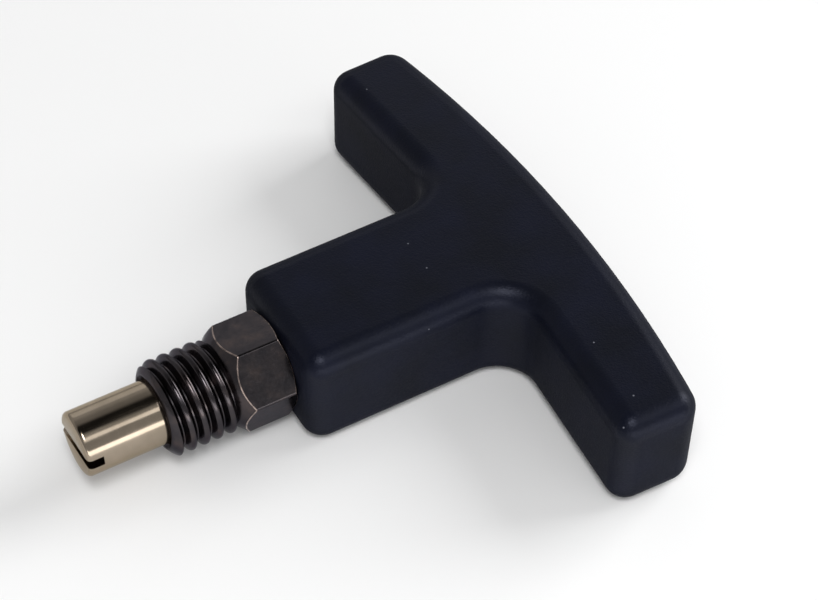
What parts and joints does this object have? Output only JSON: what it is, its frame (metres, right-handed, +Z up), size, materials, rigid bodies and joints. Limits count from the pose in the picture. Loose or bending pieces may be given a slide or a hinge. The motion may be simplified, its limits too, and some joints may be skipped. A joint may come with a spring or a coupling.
{
  "type": "spring-loaded lock pin",
  "caption": "Spring-loaded lock pin: a threaded hexagon body guides a slotted steel nose, and a rounded T-handle pulls the nose back out of its hole.",
  "frame": {"origin": "on the pin's axis at the last thread crest before the hexagon", "axes": "-X along the pin towards its nose, +X towards the handle, +Y along the handle's bar, +Z up from the flat of the handle that it lies on"},
  "size_m": [0.0888, 0.0938, 0.0194],
  "materials": {
    "moulded_plastic": "satin, moulded, near black",
    "brass": "machined",
    "black_oxide_steel": "black oxide, oiled",
    "plated_steel": "polished and nickel plated",
    "spring_steel": "drawn wire"
  },
  "bodies": {
    "barrel": {"threaded_body": "black_oxide_steel"},
    "coil": {"spring": "spring_steel"},
    "plunger": {"lock_pin": "plated_steel", "handle_insert": "brass", "t_handle": "moulded_plastic"}
  },
  "joints": [
    {"name": "swivel", "type": "hinge", "parent": "barrel", "child": "coil", "pos_m": [0, 0, 0], "axis": [1, 0, 0], "continuous": true},
    {"name": "pull", "type": "slide", "parent": "coil", "child": "plunger", "axis": [1, 0, 0], "range_m": [0, 0.01], "stiffness_N_per_m": 1590, "springref_m": -0.0067, "deforming": ["spring"]}
  ]
}
